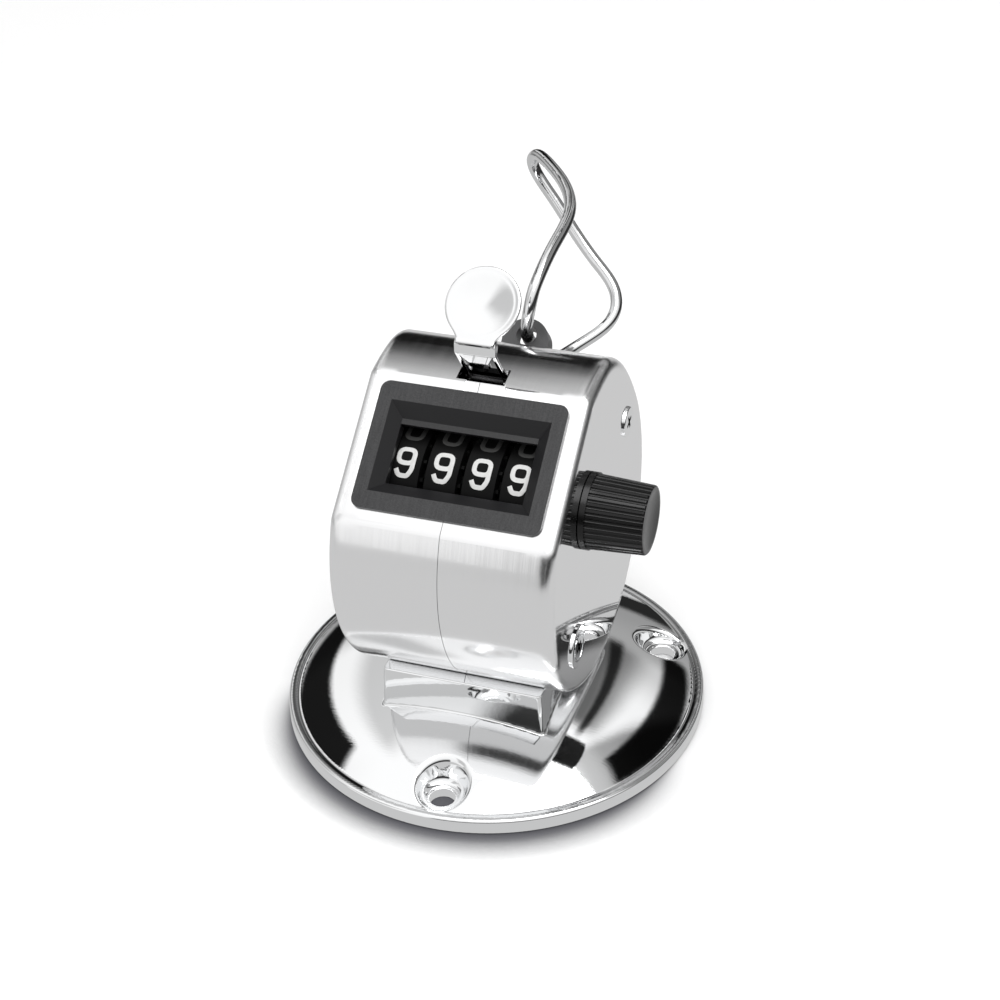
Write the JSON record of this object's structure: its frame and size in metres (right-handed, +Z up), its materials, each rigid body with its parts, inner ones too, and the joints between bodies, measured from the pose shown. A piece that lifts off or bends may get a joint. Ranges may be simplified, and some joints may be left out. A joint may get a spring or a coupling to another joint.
{
  "type": "hand tally counter",
  "caption": "Desk hand tally counter on a round domed base, with dial wheels behind a black bezel, a thumb lever, a ribbed reset knob and a wire finger ring.",
  "frame": {"origin": "centre of the underside of the round base", "axes": "+Z up, dial and front towards -Y, reset knob towards +X"},
  "size_m": [0.068, 0.0899, 0.0755],
  "materials": {
    "chrome_case": "polished, satin front",
    "chrome_base": "mirror polished",
    "bright_steel": "polished",
    "plain_steel": "satin",
    "spring_steel": "drawn",
    "brass": "turned",
    "bezel_black": "fine texture",
    "wheel_black": "smooth",
    "knob_black": "semi gloss",
    "lug_grey": "smooth"
  },
  "bodies": {
    "body": {"base": "chrome_base", "case_right": "chrome_case", "case_left": "chrome_case", "bezel": "bezel_black", "frame_left": "plain_steel", "frame_right": "plain_steel", "pillars": "plain_steel", "upper_side_screws": "bright_steel", "lower_side_screws": "bright_steel", "saddle_screws": "plain_steel", "saddle_nut_plate": "plain_steel", "shaft_spacers": "plain_steel", "pinion_shaft": "plain_steel", "pinion_spacers": "plain_steel", "lever_pin": "plain_steel", "detent_spring": "spring_steel", "lever_spring": "spring_steel", "ring_lug": "lug_grey"},
    "lever": {"lever": "bright_steel", "lever_sleeve": "plain_steel", "pawl_arm": "plain_steel", "pawl_pin": "plain_steel"},
    "pawl": {"drive_pawl": "spring_steel"},
    "units": {"wheel_units": "wheel_black", "units_ratchet": "brass"},
    "tens": {"wheel_tens": "wheel_black"},
    "hundreds": {"wheel_hundreds": "wheel_black"},
    "thousands": {"wheel_thousands": "wheel_black"},
    "units_carry": {"transfer_pinion_units": "brass"},
    "tens_carry": {"transfer_pinion_tens": "brass"},
    "hundreds_carry": {"transfer_pinion_hundreds": "brass"},
    "reset": {"wheel_shaft": "plain_steel", "reset_knob": "knob_black"},
    "ring": {"finger_ring": "bright_steel"}
  },
  "joints": [
    {"name": "lever_press", "type": "hinge", "parent": "body", "child": "lever", "pos_m": [0, 0.00377, 0.0576], "axis": [1, 0, 0], "range_deg": [0, 13], "stiffness_Nm_per_rad": 0.02, "springref_deg": -14.9},
    {"name": "pawl_swing", "type": "hinge", "parent": "lever", "child": "pawl", "pos_m": [0, -0.007, 0.0487], "axis": [1, 0, 0], "range_deg": [-13.7, 0]},
    {"name": "units_turn", "type": "hinge", "parent": "body", "child": "units", "pos_m": [0, -0.0039, 0.0421], "axis": [1, 0, 0], "range_deg": [0, 36]},
    {"name": "tens_turn", "type": "hinge", "parent": "body", "child": "tens", "pos_m": [0, -0.0039, 0.0421], "axis": [1, 0, 0], "range_deg": [0, 36]},
    {"name": "hundreds_turn", "type": "hinge", "parent": "body", "child": "hundreds", "pos_m": [0, -0.0039, 0.0421], "axis": [1, 0, 0], "range_deg": [0, 36]},
    {"name": "thousands_turn", "type": "hinge", "parent": "body", "child": "thousands", "pos_m": [0, -0.0039, 0.0421], "axis": [1, 0, 0], "range_deg": [0, 36]},
    {"name": "units_carry_turn", "type": "hinge", "parent": "body", "child": "units_carry", "pos_m": [0, 0.00649, 0.0361], "axis": [1, 0, 0], "range_deg": [-90, 0]},
    {"name": "tens_carry_turn", "type": "hinge", "parent": "body", "child": "tens_carry", "pos_m": [0, 0.00649, 0.0361], "axis": [1, 0, 0], "range_deg": [-90, 0]},
    {"name": "hundreds_carry_turn", "type": "hinge", "parent": "body", "child": "hundreds_carry", "pos_m": [0, 0.00649, 0.0361], "axis": [1, 0, 0], "range_deg": [-90, 0]},
    {"name": "reset_turn", "type": "hinge", "parent": "body", "child": "reset", "pos_m": [0.0274, -0.0039, 0.0421], "axis": [1, 0, 0], "continuous": true},
    {"name": "ring_swing", "type": "hinge", "parent": "body", "child": "ring", "pos_m": [0, 0.02188, 0.05488], "axis": [0, 0.6481, -0.7615], "range_deg": [-20, 20]}
  ],
  "couplings": [
    {"joint": "pawl_swing", "follows": "lever_press", "ratio": -1.05},
    {"joint": "units_turn", "follows": "lever_press", "ratio": 2.769},
    {"joint": "tens_turn", "follows": "lever_press", "ratio": 2.769},
    {"joint": "hundreds_turn", "follows": "lever_press", "ratio": 2.769},
    {"joint": "thousands_turn", "follows": "lever_press", "ratio": 2.769},
    {"joint": "units_carry_turn", "follows": "lever_press", "ratio": -6.9225},
    {"joint": "tens_carry_turn", "follows": "lever_press", "ratio": -6.9225},
    {"joint": "hundreds_carry_turn", "follows": "lever_press", "ratio": -6.9225}
  ]
}
